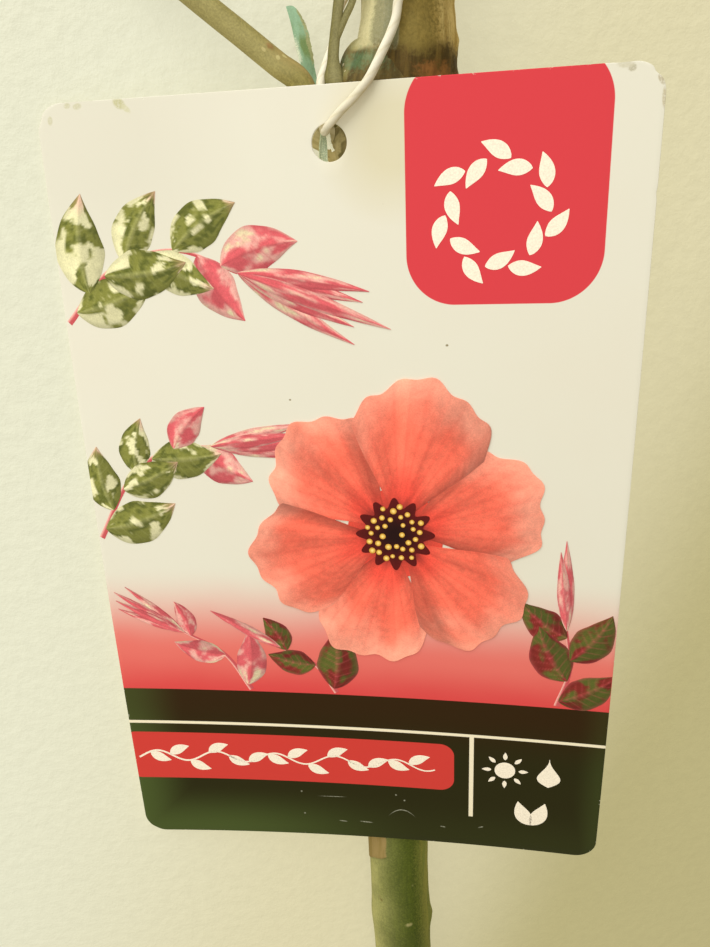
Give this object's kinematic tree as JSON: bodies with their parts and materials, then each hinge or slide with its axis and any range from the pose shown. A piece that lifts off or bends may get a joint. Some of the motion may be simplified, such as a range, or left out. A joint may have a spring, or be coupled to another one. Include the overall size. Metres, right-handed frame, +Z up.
{
  "type": "cut willow stem with plant label",
  "caption": "Short cut length of a grafted willow stem with cut boughs, twigs and green grafting tape, lying under a large printed plastic plant label on a white cord loop.",
  "frame": {"origin": "on the surface that the part lies on, under the middle of its bounding box", "axes": "+Y along the stem from its cut foot to its head, +Z up from that surface, +X to the right as the label is read"},
  "size_m": [0.0972, 0.2504, 0.0318],
  "materials": {
    "stock_bark": "smooth green young bark with corky spots",
    "graft_wax": "swollen bark under dark green-black grafting wax",
    "leader_bark": "rough olive-tan bark",
    "bough_bark": "olive-yellow bark with bud scars",
    "twig_bark": "smooth brown-green bark",
    "graft_tape": "thin turquoise-green plastic strip",
    "label_plastic": "satin printed plastic card, worn at the corners",
    "tie_cord": "white twisted plastic cord"
  },
  "bodies": {
    "root": {"stem": "stock_bark", "graft_union": "graft_wax", "leader": "leader_bark", "left_bough": "bough_bark", "long_twig": "twig_bark", "short_twig": "twig_bark", "tape_wrap": "graft_tape", "tape_tail": "graft_tape", "label": "label_plastic", "tie": "tie_cord", "tie_knot": "tie_cord"}
  },
  "joints": []
}
